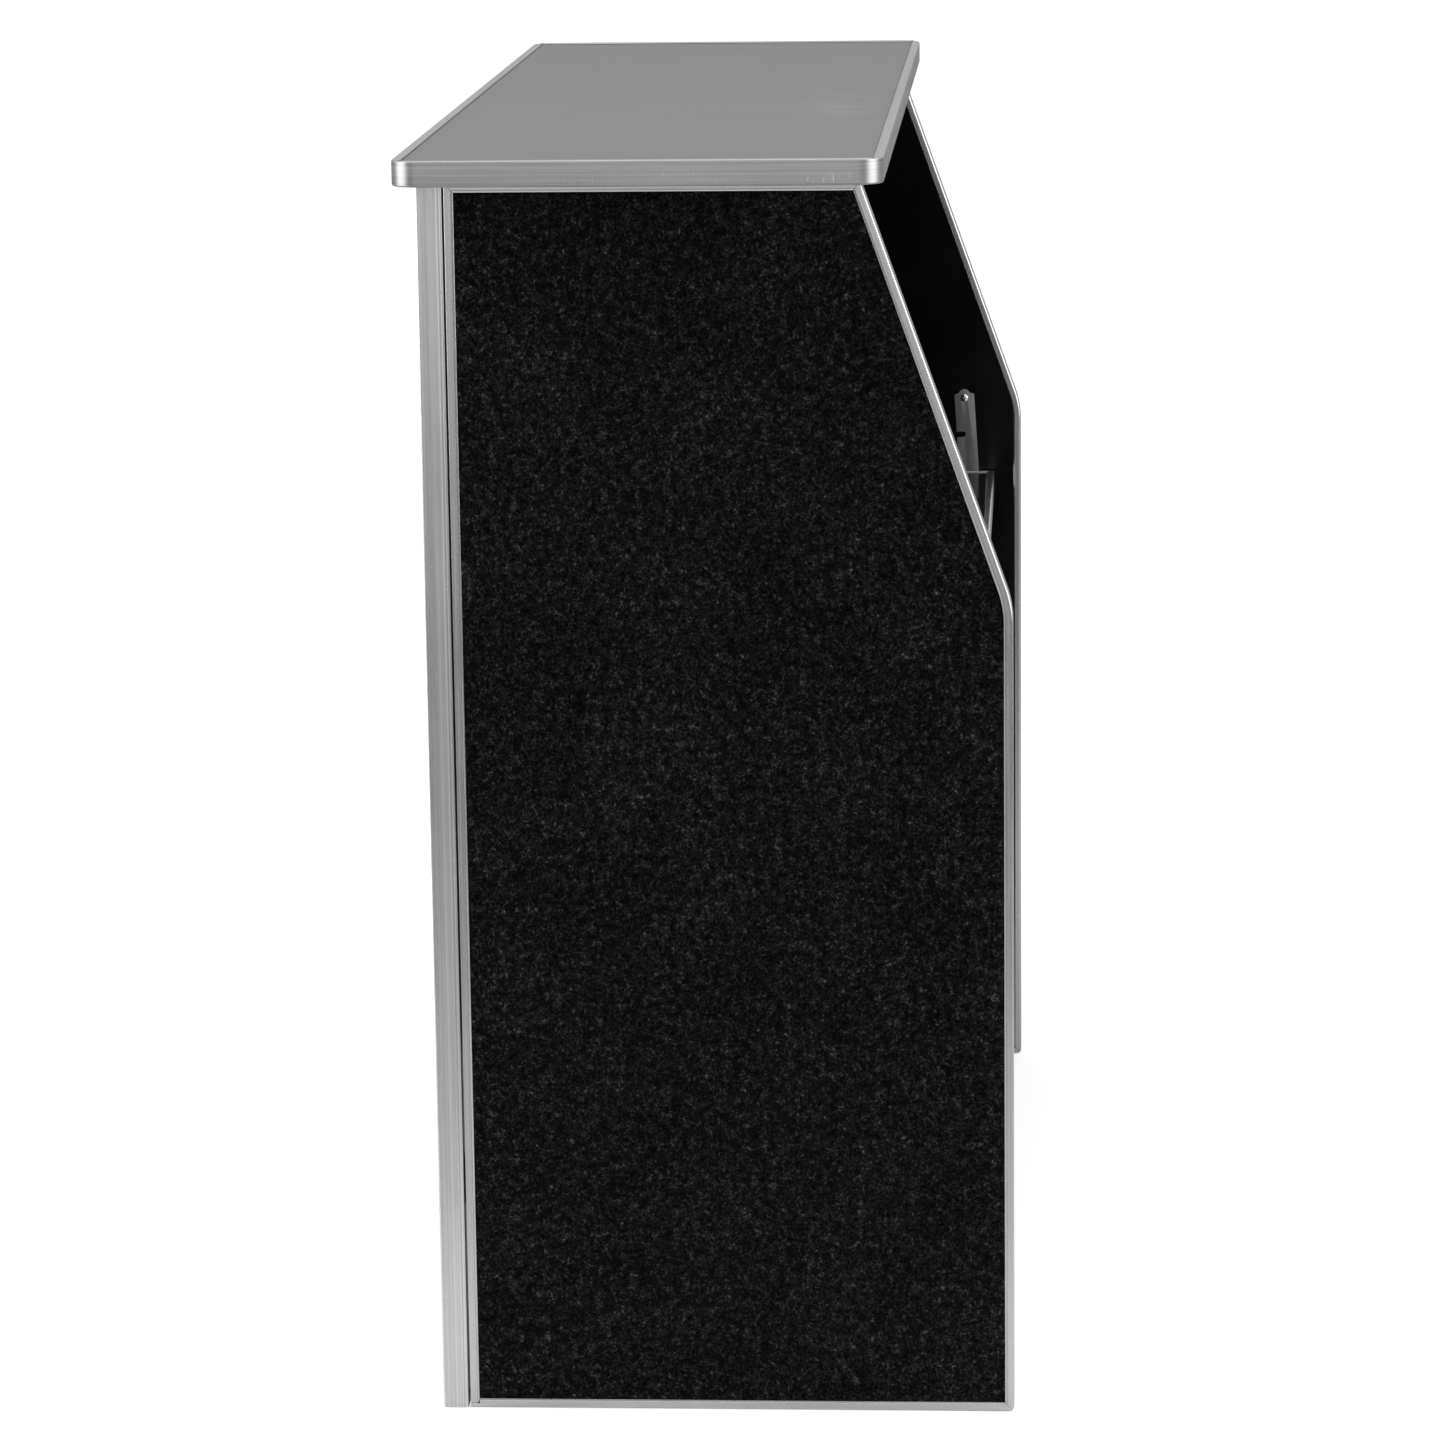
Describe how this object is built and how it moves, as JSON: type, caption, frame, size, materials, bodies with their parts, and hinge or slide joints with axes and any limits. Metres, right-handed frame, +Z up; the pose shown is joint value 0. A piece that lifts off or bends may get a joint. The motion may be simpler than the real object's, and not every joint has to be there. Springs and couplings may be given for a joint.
{
  "type": "counter-height presentation lectern",
  "caption": "Counter-height presentation lectern: black laminate panels in aluminium edge trim, a level lift-off grey top, sloped rear side edges and an inner shelf hung on notched straps.",
  "frame": {"origin": "on the floor, under the centre of the whole outline", "axes": "+Z up, -Y towards the audience, +Y towards the speaker, +X along the counter's width"},
  "size_m": [1.3, 0.519, 1.1],
  "materials": {
    "aluminium_trim": "satin anodised, brushed along its length",
    "speckled_laminate": "black high-pressure laminate with a fine pale speckle, satin",
    "black_laminate": "plain black laminate, glossy",
    "grey_laminate": "mid-grey laminate with a faint brushed grain, satin",
    "board_core": "particle board, raw",
    "grey_steel": "grey satin coat on steel",
    "bright_screw": "bright zinc plate"
  },
  "bodies": {
    "frame": {"corner_angle_lower_left": "grey_steel", "corner_angle_lower_right": "grey_steel", "corner_angle_upper_left": "grey_steel", "corner_angle_upper_right": "grey_steel", "corner_front_screw_lower_left": "bright_screw", "corner_front_screw_lower_right": "bright_screw", "corner_front_screw_upper_left": "bright_screw", "corner_front_screw_upper_right": "bright_screw", "corner_side_screw_lower_left": "bright_screw", "corner_side_screw_lower_right": "bright_screw", "corner_side_screw_upper_left": "bright_screw", "corner_side_screw_upper_right": "bright_screw", "front_bottom_rail": "aluminium_trim", "front_core": "board_core", "front_inner_laminate": "black_laminate", "front_outer_laminate": "speckled_laminate", "front_post_left": "aluminium_trim", "front_post_right": "aluminium_trim", "front_top_rail": "aluminium_trim", "ledge_screw_left": "bright_screw", "ledge_screw_middle": "bright_screw", "ledge_screw_right": "bright_screw", "shelf_ledge": "grey_steel", "side_left_bottom_trim": "aluminium_trim", "side_left_core": "board_core", "side_left_front_trim": "aluminium_trim", "side_left_inner_laminate": "black_laminate", "side_left_outer_laminate": "speckled_laminate", "side_left_rear_trim": "aluminium_trim", "side_left_top_trim": "aluminium_trim", "side_right_bottom_trim": "aluminium_trim", "side_right_core": "board_core", "side_right_front_trim": "aluminium_trim", "side_right_inner_laminate": "black_laminate", "side_right_outer_laminate": "speckled_laminate", "side_right_rear_trim": "aluminium_trim", "side_right_top_trim": "aluminium_trim", "strap_screw_left": "bright_screw", "strap_screw_right": "bright_screw", "strap_spacer_left": "grey_steel", "strap_spacer_right": "grey_steel"},
    "top": {"top_balance_sheet": "black_laminate", "top_core": "board_core", "top_edge_band": "aluminium_trim", "top_laminate": "grey_laminate", "top_peg_front_left": "grey_steel", "top_peg_front_right": "grey_steel", "top_peg_rear_left": "grey_steel", "top_peg_rear_right": "grey_steel"},
    "shelf": {"shelf_core": "board_core", "shelf_front_trim": "aluminium_trim", "shelf_left_trim": "aluminium_trim", "shelf_lower_laminate": "black_laminate", "shelf_rear_trim": "aluminium_trim", "shelf_right_trim": "aluminium_trim", "shelf_stud_left": "grey_steel", "shelf_stud_right": "grey_steel", "shelf_upper_laminate": "black_laminate"},
    "strap_left": {"shelf_strap_left": "grey_steel"},
    "strap_right": {"shelf_strap_right": "grey_steel"}
  },
  "joints": [
    {"name": "top_lift", "type": "slide", "parent": "frame", "child": "top", "axis": [0, 0, 1], "range_m": [0, 0.15]},
    {"name": "shelf_shift", "type": "slide", "parent": "frame", "child": "shelf", "axis": [0, -1, 0], "range_m": [0, 0.012]},
    {"name": "strap_left_swing", "type": "hinge", "parent": "frame", "child": "strap_left", "pos_m": [-0.5877, 0.1995, 0.7244], "axis": [1, 0, 0], "range_deg": [0, 110]},
    {"name": "strap_right_swing", "type": "hinge", "parent": "frame", "child": "strap_right", "pos_m": [0.5877, 0.1995, 0.7244], "axis": [1, 0, 0], "range_deg": [0, 110]}
  ]
}
